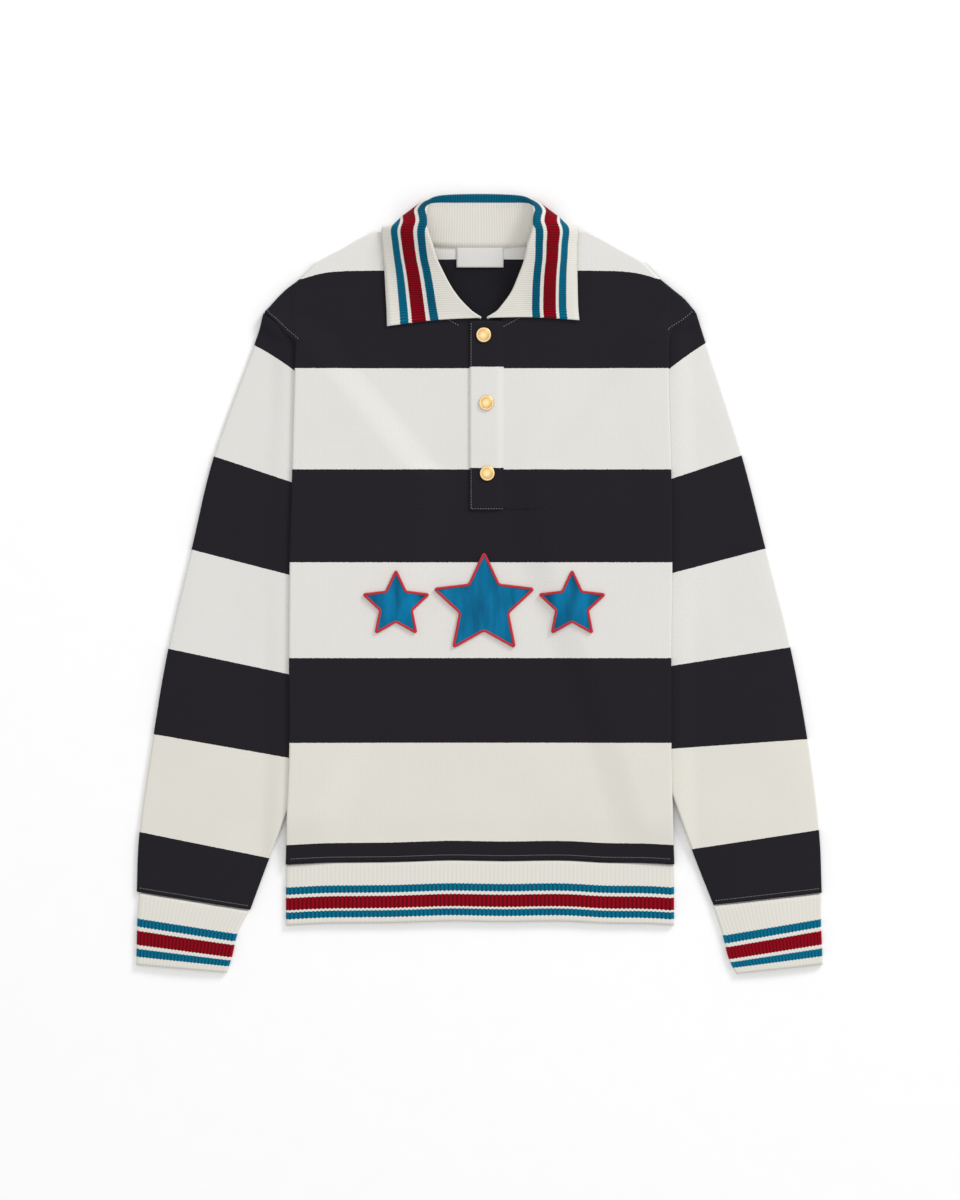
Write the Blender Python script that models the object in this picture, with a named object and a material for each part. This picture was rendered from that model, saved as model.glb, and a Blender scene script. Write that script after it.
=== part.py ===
"""A long-sleeve knitted polo shirt, laid flat on its back with its sleeves swung down beside the body.

X runs to the viewer's right, Y towards the collar and Z up. The origin is under the middle of the outline,
on the surface that the shirt lies on. Tables and sizes are in millimetres. Sides are the wearer's:
RIGHT is the viewer's left. "out" is the distance from the centre line, whichever side it is on.

Each sheet of cloth is a grid bent along its own construction: panels are rows across the body, which fold
under at the side and run back to the side seam; sleeves, cuffs and the hem band are flattened tubes.
"""

import math

import bmesh
import bpy
import numpy as np
from mathutils import Vector

MM = 0.001
RIGHT, LEFT = -1, 1
SIDE_NAMES = {RIGHT: "right", LEFT: "left"}

# Cloth
JERSEY = 1.4
RIB = 2.2
SEAM_GAP = 0.7
LAID_GAP = 0.4

# Side fold of a panel: the sheet turns over at the side and a strip runs back under it.
FOLD_RADIUS = 1.0
FOLD_STEPS = 3
EDGE_STUB = 0.5
EDGE_GAP = 0.25
SHOULDER_POINT_Y = 273
FOLD_TOP_Y = 242
SIDE_SEAM_TOP_Y = 104
SIDE_SEAM_TURN = 5
SIDE_SEAM_HALF_GAP = 0.95
RAMP_WIDTH = 42
RAMP_CLEARANCE = 4

# Levels of the mid-surfaces over the resting plane
BACK_LEVEL = 0.7
BACK_NECK_RISE = 3.3
SLEEVE_LIFT = 4.0
SLEEVE_LIFT_WIDTH = 20
SLEEVE_LIFT_MARGIN = 7
SLEEVE_DEPTH = 3.4
SLEEVE_PILLOW = 2.0

# Hem
HEM_Y = -275.6
HEM_BOW = 3.5
HEM_HALF_WIDTH = 193.6
HEM_BAND_DEPTH = 60.6

# Placket
PLACKET_LEFT_X, PLACKET_RIGHT_X = -10.3, 23.6
PLACKET_TOP_Y, PLACKET_BOTTOM_Y = 264.4, 75.0
SLOT_MARGIN = 2.2
SNAP_RADIUS = 7.5
SNAP_HEIGHT = 3.0
SNAP_X_Y = ((3.7, 250.2), (6.5, 182.2), (7.3, 111.7))

# Label
LABEL_WIDTH, LABEL_DEPTH, LABEL_THICKNESS = 47, 20, 0.6
LABEL_TOP_Y = 336.6

# Star patches: centre X, centre Y, outer radius
STARS = (("star_middle", 4, -20, 52), ("star_right", -84, -20, 34), ("star_left", 92, -20, 34))
STAR_WAIST = 0.48
PATCH_THICKNESS = 1.2

# Panel outline, out from the centre line, on the wearer's right and left: shoulder, armhole seam, side fold.
PANEL_EDGE = (  # y, right, left
    (353, 105, 105), (345, 122, 122.5), (336.6, 136.2, 137.5), (322, 163, 163), (305.7, 180, 180),
    (295, 194, 193), (285, 204, 205), (276, 212, 212.5), (273, 215, 215), (264, 205.5, 206),
    (253, 194.5, 190.5), (242, 183.5, 188.3), (232, 184, 188), (213, 184.6, 188), (113, 187.2, 190.6),
    (17, 189.7, 191.6), (-78, 190.3, 190.6), (-160, 190, 190.7), (-201, 191.3, 191.5),
    (-225, 192.5, 192.2), (-258, 193.3, 193.2), (-280, 194, 194),
)
# Width of the strip that the side fold turns under, from the fold to the armhole or the side seam.
TUCK = ((242, 2), (213, 24), (185, 48), (155, 73), (125, 98), (103, 121), (55, 118), (-15, 96),
        (-97, 63), (-175, 37), (-226, 22), (-280, 11))  # y, width
# Level of the front panel over its side fold and at the centre.
FRONT_LEVEL = ((353, 6.0, 6.0), (305, 6.8, 6.2), (273, 8.7, 6.8), (264, 9.8, 7.0), (253, 11.2, 7.0),
               (242, 12.1, 7.0), (-226, 12.1, 7.0), (-276, 6.2, 5.2), (-280, 6.2, 5.2))  # y, side, centre
FRONT_NECK = ((353, 91), (343, 87.4), (335, 84.2), (322, 75.8), (308, 65.4), (298, 53.8), (287, 41.4),
              (277, 27), (271, 15.5), (265, 1))  # y, out
# How far out the neckline and the collar's fold are drawn, as the shirt's opening lies a little to one side.
NECK_SHIFT = ((340, 0, 0), (322, 2, 4), (305, 2, 6), (287, 2, 8.5), (275, 0.5, 9),
              (266, -4, 4))  # y, right, left
BACK_NECK = ((353, 91.5), (347, 84.5), (343, 73.5), (340.3, 58), (338.6, 42), (337.7, 24), (337.3, 0))

FRONT_ROWS = (353, 345, 336.6, 329, 322, 313.5, 305.7, 295, 284, 273, 269, 265.4, 253, 242, 232, 213,
              185, 155, 125, 103, 79, 75.6, 17, -78, -160, -201, -228, -252, HEM_Y)
BACK_ROWS = (353, 347, 343, 340.3, 338.6, 337.7, 337.3, 322, 305.7, 295, 284, 273, 264, 253, 242, 232,
             213, 185, 155, 125, 103, 17, -78, -160, -201, -228, -252, HEM_Y)

TUBE_FLAT, TUBE_TURN = 6, 3

# Sleeve sections from the armhole to the cuff seam: the two edge folds, and how far the row bows upwards.
SLEEVES = {
    RIGHT: (  # out and y at the outer fold, out and y at the inner fold, bow
        (216, 272, 76, 105, 10.5), (225, 241, 77, 95, 17), (265, 131, 82, 67, 1), (288, 36, 106, -11, 0),
        (311, -62, 144.7, -97.3, 0), (326, -149, 174, -175.5, 0), (340, -246, 211, -272, 0),
        (343, -307, 230.7, -325, 0),
    ),
    LEFT: (
        (217, 271, 78, 105, 14.5), (225, 243, 79, 95, 14), (260.5, 132, 84, 72, 0), (285, 37, 110, -9, 0),
        (309.5, -60.5, 145, -86.5, 0), (327, -154, 176, -164.5, 0), (338.5, -244, 212, -263, 0),
        (341.5, -308, 234.3, -320, 0),
    ),
}
CUFFS = {
    RIGHT: ((340.5, -308.6, 232.4, -326.4, 0), (342.3, -333, 243.3, -348.5, 0),
            (343, -357.6, 248.5, -370.5, 0), (343.5, -380.5, 254, -388, 0)),
    LEFT: ((340.5, -309.6, 234.3, -321.4, 0), (340.3, -333.8, 243.8, -350, 0),
           (341.2, -357.5, 249.5, -372.5, 0), (342, -380, 257.5, -389, 0)),
}

# Collar sections from the front end to the middle of the back neck: out, y and level of the neck seam,
# the crest of the fold, a point half way over the leaf, and the leaf's outer edge.
COLLAR = (
    ((3.6, 266.6, 8.0), (2.4, 267.4, 9.9), (50, 266.2, 9.4), (96.2, 261.2, 9.3)),
    ((15, 272.6, 7.6), (10.5, 276, 11.2), (52, 276.5, 10.4), (95.8, 275, 9.3)),
    ((40, 287.6, 7.0), (25.5, 295, 14.5), (60, 295, 13.8), (96, 294.5, 9.2)),
    ((64, 308.6, 6.6), (37.5, 317, 20.5), (68, 317, 18.5), (96.3, 317, 9.2)),
    ((83, 335.6, 6.2), (47.5, 339, 28), (76, 339, 22), (97.2, 338.5, 9.0)),
    ((86.8, 350, 5.8), (53.2, 356, 31), (80, 356, 24), (97.5, 357, 9.5)),
    ((86.4, 353, 5.4), (53.8, 366, 29.5), (80, 365, 16), (88, 352.5, 2.0)),
    ((80, 349.4, 4.8), (54, 374, 25), (73, 371, 11), (77, 343, 1.5)),
    ((65, 342.4, 4.2), (51, 383, 18), (57, 379.5, 6), (58, 341.5, 1.2)),
    ((46, 340, 3.9), (42, 388, 12), (42, 378, 3), (40, 341.5, 1.2)),
    ((24, 338.7, 3.7), (23, 389.8, 9), (22, 372, 2), (21, 341.5, 1.2)),
    ((0, 338.3, 3.6), (0, 390.3, 8), (0, 370, 1.8), (0, 341.5, 1.2)),
)
COLLAR_FOLD_RADIUS = 1.5
COLLAR_STEPS = 16
LEAF_TIP_SHIFT = {RIGHT: (-3.2, -2.2), LEFT: (3.2, 3.8)}
LEAF_TIP_REACH = 4

COLOURS = {  # linear red, green, blue, roughness, metallic
    "jersey": (0.045, 0.04, 0.05, 0.9, 0.0),
    "rib": (0.72, 0.70, 0.64, 0.9, 0.0),
    "satin": (0.005, 0.13, 0.25, 0.4, 0.0),
    "label": (0.70, 0.68, 0.65, 0.6, 0.0),
    "brass": (0.65, 0.42, 0.16, 0.3, 1.0),
}


def table_value(table, column, at):
    """A column of a table whose first column falls, read in straight lines between its rows."""
    keys = [-row[0] for row in table]
    return float(np.interp(-at, keys, [row[column] for row in table]))


def smooth(x):
    x = min(max(x, 0.0), 1.0)
    return x * x * (3 - 2 * x)


def through(points, at):
    """A point on the smooth curve through points, at 0 for the first and 1 for the last."""
    place = min(max(at, 0.0), 1.0) * (len(points) - 1)
    i = min(int(place), len(points) - 2)
    t = place - i
    p1, p2 = (np.array(points[k], float) for k in (i, i + 1))
    p0 = np.array(points[i - 1], float) if i else 2 * p1 - p2
    p3 = np.array(points[i + 2], float) if i + 2 < len(points) else 2 * p2 - p1
    return 0.5 * (2 * p1 + (p2 - p0) * t + (2 * p0 - 5 * p1 + 4 * p2 - p3) * t**2
                  + (3 * p1 - p0 - 3 * p2 + p3) * t**3)


def grid_into(bm, across, along, place):
    """Adds a grid to bm and moves each point to place(column, row), in millimetres."""
    made = bmesh.ops.create_grid(bm, x_segments=across, y_segments=along, size=1)
    for vert in made["verts"]:
        column = round((vert.co.x + 1) / 2 * across)
        row = round((vert.co.y + 1) / 2 * along)
        vert.co = Vector(place(column, row)) * MM


def finish(name, bm, colour, wall=None):
    """Makes the object, with a wall's thickness laid equally on both sides of the sheet."""
    bmesh.ops.remove_doubles(bm, verts=bm.verts, dist=1e-6)
    bmesh.ops.recalc_face_normals(bm, faces=bm.faces)
    mesh = bpy.data.meshes.new(name)
    bm.to_mesh(mesh)
    bm.free()
    piece = bpy.data.objects.new(name, mesh)
    bpy.context.scene.collection.objects.link(piece)
    if wall:
        solid = piece.modifiers.new("wall", "SOLIDIFY")
        solid.thickness = wall * MM
        solid.offset = 0
        solid.use_even_offset = True
    mesh.materials.append(material(colour))
    mesh.shade_smooth()
    mesh.set_sharp_from_angle(angle=math.radians(40))
    return piece


def material(colour):
    if colour in bpy.data.materials:
        return bpy.data.materials[colour]
    red, green, blue, roughness, metallic = COLOURS[colour]
    made = bpy.data.materials.new(colour)
    made.use_nodes = True
    shader = made.node_tree.nodes["Principled BSDF"]
    shader.inputs["Base Color"].default_value = (red, green, blue, 1)
    shader.inputs["Roughness"].default_value = roughness
    shader.inputs["Metallic"].default_value = metallic
    return made


# Panels


def edge_out(side, y):
    return table_value(PANEL_EDGE, 1 if side == RIGHT else 2, y)


def tuck_width(y):
    return table_value(TUCK, 1, y) if y < FOLD_TOP_Y else EDGE_STUB + 1.5 * fold_share(y)


def neck_shift(side, y):
    return table_value(NECK_SHIFT, 1 if side == RIGHT else 2, y)


def neck_out(neck, side, y):
    """Where a panel's row ends at the neck, or 0 below it."""
    if y <= neck[-1][0]:
        return 0
    return table_value(neck, 1, y) + (neck_shift(side, y) if neck is FRONT_NECK else 0)


def fold_share(y):
    """0 on the shoulder, where the edge turns down to its seam, 1 where the side folds right over."""
    return smooth((SHOULDER_POINT_Y - y) / (SHOULDER_POINT_Y - FOLD_TOP_Y))


def bowed(y, out):
    """The hem and the rows near it hang a little lower at the sides than in the middle."""
    return y - HEM_BOW * (out / HEM_HALF_WIDTH) ** 2 * smooth((-y - 150) / 120)


def front_level(side, out, y):
    low, high = table_value(FRONT_LEVEL, 2, y), table_value(FRONT_LEVEL, 1, y)
    start, end = ramp(side, y)
    return low + (high - low) * min(max((out - start) / (end - start), 0), 1)


def back_level(side, out, y):
    return BACK_LEVEL + BACK_NECK_RISE * smooth((y - 300) / 34) * (1 - smooth((out - 102) / 25))


def ramp(side, y):
    """Where a panel starts to climb over the layers folded under its side, and where it is over them."""
    end = edge_out(side, y) - tuck_width(y) - RAMP_CLEARANCE
    return end - RAMP_WIDTH, end


def panel_columns(side, y, inner):
    """Out-distances of the flat part's columns: from the side, down the ramp and on to the inner edge."""
    start, end = ramp(side, y)
    outer = edge_out(side, y) - fold_radius(side, y)
    end = min(max(end, inner + 4), outer - 2)
    start = min(max(start, inner + 2), end - 1)
    return outer, (outer + end) / 2, end, (start + end) / 2, start, inner


def fold_radius(side, y):
    edge = edge_out(side, y)
    gap = front_level(side, edge, y) - back_level(side, edge, y)
    share = fold_share(y)
    room = gap / 2 - EDGE_GAP - EDGE_STUB - JERSEY / 2 * share
    rounded = max(room / (1 + math.sin(math.pi / 2 * share)), 0.4)
    return rounded + (FOLD_RADIUS - rounded) * share


def panel_section(side, y, inner, level, up):
    """A panel's row on one side, from the seam at its end, round the side fold and in to the inner edge."""
    edge, radius = edge_out(side, y), fold_radius(side, y)
    width = tuck_width(y)
    turn = math.pi / 2 * (1 + fold_share(y))
    last = math.pi / 2 - turn
    main = level(side, edge, y)
    middle = (front_level(side, edge, y) + back_level(side, edge, y)) / 2
    section = []
    for reach in (width, max(width - SIDE_SEAM_TURN, 0.67 * width), 0.4 * width):
        drop = radius * (1 - math.sin(last)) + reach * math.cos(last)
        if reach == width and y < SIDE_SEAM_TOP_Y:
            drop = max(drop, abs(middle - main) - SIDE_SEAM_HALF_GAP)
        section.append((edge - radius + radius * math.cos(last) + reach * math.sin(last), main + up * drop))
    for step in range(FOLD_STEPS):
        angle = last + turn * step / FOLD_STEPS
        drop = radius * (1 - math.sin(angle))
        section.append((edge - radius + radius * math.cos(angle), main + up * drop))
    for out in panel_columns(side, y, inner):
        section.append((out, level(side, out, y)))
    return section


def panel(name, rows, neck, slot, level, up):
    """A panel in two halves, which meet on the centre line below the neck and below any slot."""
    bm = bmesh.new()
    for side in (RIGHT, LEFT):
        sections = []
        for y in rows:
            inner = neck_out(neck, side, y)
            if PLACKET_BOTTOM_Y + 1 < y:
                inner = max(inner, slot[side])
            sections.append((y, panel_section(side, y, inner, level, up)))

        def place(column, row):
            y, section = sections[row]
            out, height = section[column]
            return side * out, bowed(y, out), height

        grid_into(bm, len(sections[0][1]) - 1, len(rows) - 1, place)
    return finish(name, bm, "jersey", JERSEY)


def make_panels():
    slot = {RIGHT: -PLACKET_LEFT_X - SLOT_MARGIN, LEFT: PLACKET_RIGHT_X - SLOT_MARGIN}
    no_slot = {RIGHT: 0, LEFT: 0}
    panel("front", FRONT_ROWS, FRONT_NECK, slot, front_level, -1)
    panel("back", BACK_ROWS, BACK_NECK, no_slot, back_level, 1)


# Sleeves, cuffs and hem band


def tube(name, rows, colour, wall, section_place):
    """A flattened tube: upper layer, inner edge fold, lower layer, outer edge fold."""
    around = [(step, 1, 0.0) for step in range(TUBE_FLAT)]
    around += [(TUBE_FLAT, 1, math.pi * step / TUBE_TURN) for step in range(TUBE_TURN)]
    around += [(TUBE_FLAT - step, -1, 0.0) for step in range(TUBE_FLAT)]
    around += [(0, -1, math.pi * step / TUBE_TURN) for step in range(TUBE_TURN)]

    def place(column, row):
        step, layer, angle = around[column % len(around)]
        return section_place(step, layer, angle, row / rows)

    bm = bmesh.new()
    grid_into(bm, len(around), rows, place)
    return finish(name, bm, colour, wall)


def across_tube(start, end, share, layer, angle, radius):
    """Where a point round a flattened tube lies: along the row from start to end, and over its mid-depth."""
    run = end - start
    length = np.linalg.norm(run)
    way = run / length
    along = radius + share * (length - 2 * radius)
    along += radius * math.sin(angle) * (1 if share == 1 else -1)
    return start + way * along, layer * radius * math.cos(angle)


def sleeve_rise(side, out, y):
    """How far a sleeve is lifted to pass over the back panel's side, and how far it is within the body."""
    outside = out - edge_out(side, y) - SLEEVE_LIFT_MARGIN
    return SLEEVE_LIFT * smooth(1 - outside / SLEEVE_LIFT_WIDTH), smooth(1 - outside / SLEEVE_LIFT_WIDTH)


def sleeve_shares(side, out0, y0, out1, y1):
    """Shares of a sleeve's row for its columns: the climb to the body's side has a column at each end."""
    def crossing(outside):
        share = 0.5
        for _ in range(4):
            share = (out0 - edge_out(side, y0 + share * (y1 - y0)) - outside) / (out0 - out1)
        return share

    foot = min(max(crossing(SLEEVE_LIFT_MARGIN + SLEEVE_LIFT_WIDTH), 0.12), 0.6)
    top = min(max(crossing(SLEEVE_LIFT_MARGIN), foot + 0.06), 0.85)
    return 0, foot / 2, foot, (foot + top) / 2, top, (top + 1) / 2, 1


def make_sleeve(side):
    radius = SLEEVE_DEPTH / 2

    def place(step, layer, angle, at):
        out0, y0, out1, y1, bow = through(SLEEVES[side], at)
        share = sleeve_shares(side, out0, y0, out1, y1)[step]
        crease, fold = np.array((out0, y0)), np.array((out1, y1))
        (out, y), height = across_tube(crease, fold, share, layer, angle, radius)
        y += 4 * bow * share * (1 - share)
        lift, inside = sleeve_rise(side, out, y)
        pillow = SLEEVE_PILLOW * (1 - inside) * max(math.sin(math.pi * share), 0) ** 0.7
        height += JERSEY / 2 + radius + lift + (pillow if layer > 0 and angle == 0 else 0)
        return side * out, y, height

    tube("sleeve_" + SIDE_NAMES[side], 13, "jersey", JERSEY, place)


def make_cuff(side):
    radius = 1.5

    def place(step, layer, angle, at):
        share = step / TUBE_FLAT
        out0, y0, out1, y1, _ = through(CUFFS[side], at)
        crease, fold = np.array((out0, y0)), np.array((out1, y1))
        (out, y), height = across_tube(crease, fold, share, layer, angle, radius)
        pillow = math.sin(math.pi * share) if layer > 0 and angle == 0 else 0
        return side * out, y, height + RIB / 2 + radius + max(pillow, 0)

    tube("cuff_" + SIDE_NAMES[side], 3, "rib", RIB, place)


def make_hem_band():
    radius = 1.4

    def place(step, layer, angle, at):
        share = step / TUBE_FLAT
        y = HEM_Y - SEAM_GAP - at * HEM_BAND_DEPTH
        ends = np.array((-HEM_HALF_WIDTH, y)), np.array((HEM_HALF_WIDTH, y))
        (x, y), height = across_tube(*ends, share, layer, angle, radius)
        pillow = math.sin(math.pi * share) if layer > 0 and angle == 0 else 0
        return x, bowed(y, abs(x)), height + RIB / 2 + radius + max(pillow, 0) ** 0.5

    tube("hem_band", 3, "rib", RIB, place)


# Collar


def collar_section(side, at):
    """The collar from neck seam over the fold to outer edge, at 0 for the front end, 1 for the back."""
    seam, crest, over, edge = (through([row[k] for row in COLLAR], at) for k in range(4))
    for point, share in ((seam, 1), (crest, 1), (over, 0.5)):
        point[0] += share * neck_shift(side, point[1])
    tip = max(0, 1 - at * (len(COLLAR) - 1) / LEAF_TIP_REACH)
    shift = np.array((*LEAF_TIP_SHIFT[side], 0)) * tip
    over, edge = over + shift / 2, edge + shift
    stand, leaf = crest - seam, crest - over
    out_of_fold = stand / np.linalg.norm(stand) + leaf / np.linalg.norm(leaf)
    out_of_fold /= np.linalg.norm(out_of_fold)
    split = over - seam
    split -= out_of_fold * split.dot(out_of_fold)
    split /= np.linalg.norm(split)
    centre = crest - out_of_fold * COLLAR_FOLD_RADIUS
    before, after = (centre + sign * split * COLLAR_FOLD_RADIUS for sign in (-1, 1))
    corner = math.sqrt(0.5) * COLLAR_FOLD_RADIUS
    shoulder_in, shoulder_out = (centre + out_of_fold * corner + sign * split * corner for sign in (-1, 1))
    leaf_points = [through((2 * after - over, after, over, edge, 2 * edge - over), place)
                   for place in (0.375, 0.5, 0.625, 0.75)]
    return [seam, (seam + before) / 2, before, shoulder_in, crest, shoulder_out, after, *leaf_points]


def make_collar():
    def place(column, row):
        at = row / COLLAR_STEPS
        side = RIGHT if at <= 1 else LEFT
        out, y, height = collar_section(side, at if at <= 1 else 2 - at)[column]
        return side * out, y, height

    bm = bmesh.new()
    grid_into(bm, 10, 2 * COLLAR_STEPS, place)
    finish("collar", bm, "rib", RIB)


# Placket, snaps, label and patches


def front_surface(x, y):
    return front_level(RIGHT if x < 0 else LEFT, abs(x), y)


def make_band(name, left_x, right_x, lift):
    """A band laid on the front panel's own points, moved out over it or in under it."""
    rows = [y for y in FRONT_ROWS if PLACKET_BOTTOM_Y + 1 < y < PLACKET_TOP_Y - 1]
    rows = [PLACKET_TOP_Y, *rows, PLACKET_BOTTOM_Y]

    def place(column, row):
        x = left_x + (right_x - left_x) * column / 4
        return x, rows[row], front_surface(x, rows[row]) + lift

    bm = bmesh.new()
    grid_into(bm, 4, len(rows) - 1, place)
    finish(name, bm, "jersey", JERSEY)


def make_snap(number, x, y):
    """A domed cap: rings of a half round over a flat foot."""
    foot = front_surface(x, y) + 1.5 * JERSEY + 2 * LAID_GAP
    bm = bmesh.new()
    made = bmesh.ops.create_cone(bm, cap_ends=True, segments=20, radius1=1, radius2=1, depth=1)
    top = [vert for vert in made["verts"] if vert.co.z > 0]
    for vert in made["verts"]:
        height = 0.9 if vert in top else 0
        vert.co = Vector((x + vert.co.x * SNAP_RADIUS, y + vert.co.y * SNAP_RADIUS, foot + height))
    face = next(face for face in bm.faces if len(face.verts) > 4 and face.normal.z > 0)
    for reach, height in ((0.84, 1.7), (0.55, 2.6), (0.2, SNAP_HEIGHT)):
        face = bmesh.ops.extrude_discrete_faces(bm, faces=[face])["faces"][0]
        for vert in face.verts:
            spoke = Vector((vert.co.x - x, vert.co.y - y)).normalized() * SNAP_RADIUS * reach
            vert.co = Vector((x + spoke.x, y + spoke.y, foot + height))
    for vert in bm.verts:
        vert.co *= MM
    finish(f"snap_{number}", bm, "brass")


def make_label():
    def place(column, row):
        x = LABEL_WIDTH * (column / 6 - 0.5)
        y = LABEL_TOP_Y - LABEL_DEPTH * row / 4
        return x, y, back_level(RIGHT, abs(x), y) + JERSEY / 2 + LAID_GAP + LABEL_THICKNESS / 2 + 0.2

    bm = bmesh.new()
    grid_into(bm, 6, 4, place)
    finish("neck_label", bm, "label", LABEL_THICKNESS)


def make_star(name, x, y, radius):
    bm = bmesh.new()
    made = bmesh.ops.create_circle(bm, cap_ends=True, segments=10, radius=radius)
    for number, vert in enumerate(made["verts"]):
        reach = radius * (STAR_WAIST if number % 2 else 1)
        angle = math.radians(90 + 36 * number)
        vert.co = Vector((reach * math.cos(angle), reach * math.sin(angle), 0))
    bmesh.ops.poke(bm, faces=bm.faces[:])
    bmesh.ops.subdivide_edges(bm, edges=bm.edges, cuts=1, use_grid_fill=True)
    lift = JERSEY / 2 + LAID_GAP + PATCH_THICKNESS / 2 + 0.3
    for vert in bm.verts:
        vert.co += Vector((x, y, 0))
        vert.co.z = front_surface(vert.co.x, vert.co.y) + lift
        vert.co *= MM
    finish(name, bm, "satin", PATCH_THICKNESS)


def main():
    for old in list(bpy.data.objects):
        bpy.data.objects.remove(old)
    make_panels()
    for side in (RIGHT, LEFT):
        make_sleeve(side)
        make_cuff(side)
    make_hem_band()
    make_collar()
    over = JERSEY + LAID_GAP
    make_band("placket_top", PLACKET_LEFT_X, PLACKET_RIGHT_X, over)
    make_band("placket_under", PLACKET_LEFT_X + 1, PLACKET_RIGHT_X + 1, -over)
    for number, (x, y) in enumerate(SNAP_X_Y, 1):
        make_snap(number, x, y)
    make_label()
    for name, x, y, radius in STARS:
        make_star(name, x, y, radius)


main()
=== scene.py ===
"""The looks of a long-sleeve knitted polo shirt that lies flat on its back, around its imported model.

X runs to the viewer's right, Y towards the collar and Z up. Tables and sizes are in millimetres, and become
metres where a piece is made. Sides are the wearer's: RIGHT is the viewer's left. "out" is the distance from
the centre line, whichever side it is on.

Every cloth piece is a fine grid bent along the same construction as the model's solids, and then given a
wall. Its UV map is its own cloth: metres across and metres along, or courses along where the stripes of a
sleeve narrow towards the cuff.
"""

import math

import bmesh
import bpy
import numpy as np
from mathutils import Matrix, Vector, noise
from mathutils.bvhtree import BVHTree


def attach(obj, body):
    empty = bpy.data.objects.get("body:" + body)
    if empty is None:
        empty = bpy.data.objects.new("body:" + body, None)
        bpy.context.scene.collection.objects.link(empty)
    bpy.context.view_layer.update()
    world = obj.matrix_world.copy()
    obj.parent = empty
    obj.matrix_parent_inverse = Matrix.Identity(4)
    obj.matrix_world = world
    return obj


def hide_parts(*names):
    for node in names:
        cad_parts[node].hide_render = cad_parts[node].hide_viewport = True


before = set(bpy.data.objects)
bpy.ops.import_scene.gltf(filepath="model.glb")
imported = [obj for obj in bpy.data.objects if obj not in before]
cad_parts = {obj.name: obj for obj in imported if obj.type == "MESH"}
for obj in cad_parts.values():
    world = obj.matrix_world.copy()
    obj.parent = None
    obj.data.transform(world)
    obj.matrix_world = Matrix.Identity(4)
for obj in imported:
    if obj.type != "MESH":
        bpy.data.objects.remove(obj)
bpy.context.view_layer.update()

MM = 0.001
RIGHT, LEFT = -1, 1
SIDES = (RIGHT, LEFT)
SIDE_NAMES = {RIGHT: "right", LEFT: "left"}

# Knit, in metres
WALE_PITCH, LOOP_PITCH, LOOP_BEND = 0.0017, 0.0014, 0.0004
RIB_ROW_PITCH, RIB_ROW_BEND = 0.0015, 0.0005
STRIPE_FRAY = 0.0012
WEAVE_PITCH = 0.0007

# Cloth
JERSEY = 1.4
RIB = 1.7
SEAM_GAP = 0.7
LAID_GAP = 0.4
ROW_STEP = 3.4
PANEL_COLUMNS = 84
STRIP_COLUMNS = 10
FOLD_STEPS = 8

# Side fold of a panel: the sheet turns over at the side and a strip runs back under it.
FOLD_RADIUS = 1.0
EDGE_STUB = 0.5
EDGE_GAP = 0.25
SHOULDER_POINT_Y = 273
FOLD_TOP_Y = 242
SIDE_SEAM_TOP_Y = 104
SIDE_SEAM_HALF_GAP = 0.95
SIDE_SEAM_TURN = 5
RAMP_WIDTH = 42
RAMP_CLEARANCE = 4

# Levels of the mid-surfaces over the resting plane
BACK_LEVEL = 0.7
BACK_NECK_RISE = 3.3
SLEEVE_LIFT = 4.0
SLEEVE_LIFT_WIDTH = 20
SLEEVE_LIFT_MARGIN = 7
SLEEVE_DEPTH = 3.4
SLEEVE_PILLOW = 2.0

# Soft unevenness of laid cloth
RIPPLE = 0.55
SLEEVE_RIPPLE = 0.8
# The side fold runs on over the shoulder as a soft crease, beyond which the panel lies lower.
CREASE, CREASE_OUT, CREASE_TOP_Y = 1.2, 185, 312

# Hem
HEM_Y = -275.6
HEM_BOW = 3.5
HEM_WAVE = 0.9
HEM_HALF_WIDTH = 193.6
HEM_BAND_DEPTH = 60.6
CUFF_DEPTH = 72
CUFF_FOLD_RADIUS, HEM_FOLD_RADIUS = 1.5, 1.4

# Placket
PLACKET_LEFT_X, PLACKET_RIGHT_X = -10.3, 23.6
PLACKET_TOP_Y, PLACKET_BOTTOM_Y = 264.4, 75.0
PLACKET_STRIPE_RISE = 1.5
UNDER_BAND_SHIFT = 1
SLOT_MARGIN = 2.2

# Snap caps: centres, the dome's radius, top and fall, the rolled rim's centre and half-size, and the foot
SNAP_X_Y = ((3.7, 250.2), (6.5, 182.2), (7.3, 111.7))
DOME_RADIUS, DOME_TOP, DOME_FALL = 6.1, 2.8, 1.1
RIM_OUT, RIM_LEVEL, RIM_HALF_WIDTH, RIM_HALF_HEIGHT = 6.75, 0.95, 0.75, 0.8
SNAP_FOOT_RADIUS = 6.8

# Label
LABEL_WIDTH, LABEL_DEPTH, LABEL_THICKNESS = 47, 20, 0.6
LABEL_TOP_Y = 337.8

# Star patches: centre X, centre Y, outer radius
STARS = (("star_middle", 4, -20, 52), ("star_right", -84, -20, 34), ("star_left", 92, -20, 34))
STAR_WAIST = 0.48
PATCH_THICKNESS = 1.2
PATCH_PUFF = 0.9
CORD_RADIUS = 1.3
CORD_CORNER = 0.08

# Panel outline, out from the centre line, on the wearer's right and left: shoulder, armhole seam, side fold.
PANEL_EDGE = (  # y, right, left
    (353, 105, 105), (345, 122, 122.5), (336.6, 136.2, 137.5), (322, 163, 163), (305.7, 180, 180),
    (295, 194, 193), (285, 204, 205), (276, 212, 212.5), (273, 215, 215), (264, 205.5, 206),
    (253, 194.5, 190.5), (242, 183.5, 188.3), (232, 184, 188), (213, 184.6, 188), (113, 187.2, 190.6),
    (17, 189.7, 191.6), (-78, 190.3, 190.6), (-160, 190, 190.7), (-201, 191.3, 191.5),
    (-225, 192.5, 192.2), (-258, 193.3, 193.2), (-280, 194, 194),
)
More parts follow.
